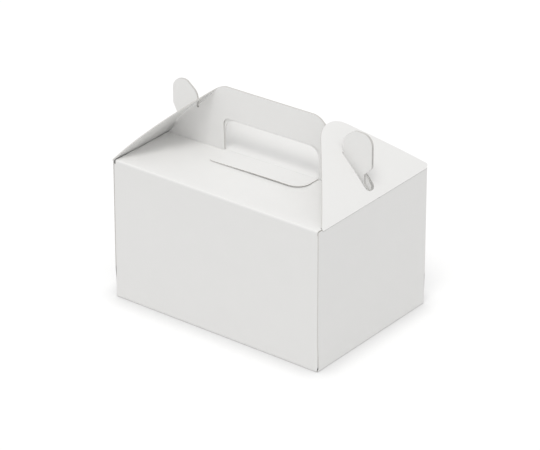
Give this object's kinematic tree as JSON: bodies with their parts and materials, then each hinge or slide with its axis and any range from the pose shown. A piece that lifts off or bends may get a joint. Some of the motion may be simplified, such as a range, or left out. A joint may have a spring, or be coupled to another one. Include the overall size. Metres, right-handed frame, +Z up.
{
  "type": "handled cake box",
  "caption": "Folded white card cake box whose lids rise into an upright carrying handle with a hand hole, held shut by slotted flaps that lean in over the ends.",
  "frame": {"origin": "middle of the underside, on the surface the box stands on", "axes": "+X along the handle, towards the right-hand end flap; +Y from the front lid to the back lid; +Z up"},
  "size_m": [0.15, 0.1078, 0.131],
  "materials": {
    "card": "smooth coated white card, semi-matt"
  },
  "bodies": {
    "box": {"carton": "card", "front_lid": "card", "back_lid": "card", "front_left_ear": "card", "back_left_ear": "card", "front_right_ear": "card", "back_right_ear": "card"},
    "left_flap": {"left_end_flap": "card"},
    "right_flap": {"right_end_flap": "card"}
  },
  "joints": [
    {"name": "left_flap_hinge", "type": "hinge", "parent": "box", "child": "left_flap", "pos_m": [-0.07475, 0, 0.08975], "axis": [0, -1, 0], "range_deg": [0, 130], "deforming": ["front_left_ear", "back_left_ear"]},
    {"name": "right_flap_hinge", "type": "hinge", "parent": "box", "child": "right_flap", "pos_m": [0.07475, 0, 0.08975], "axis": [0, 1, 0], "range_deg": [0, 130], "deforming": ["front_right_ear", "back_right_ear"]}
  ]
}
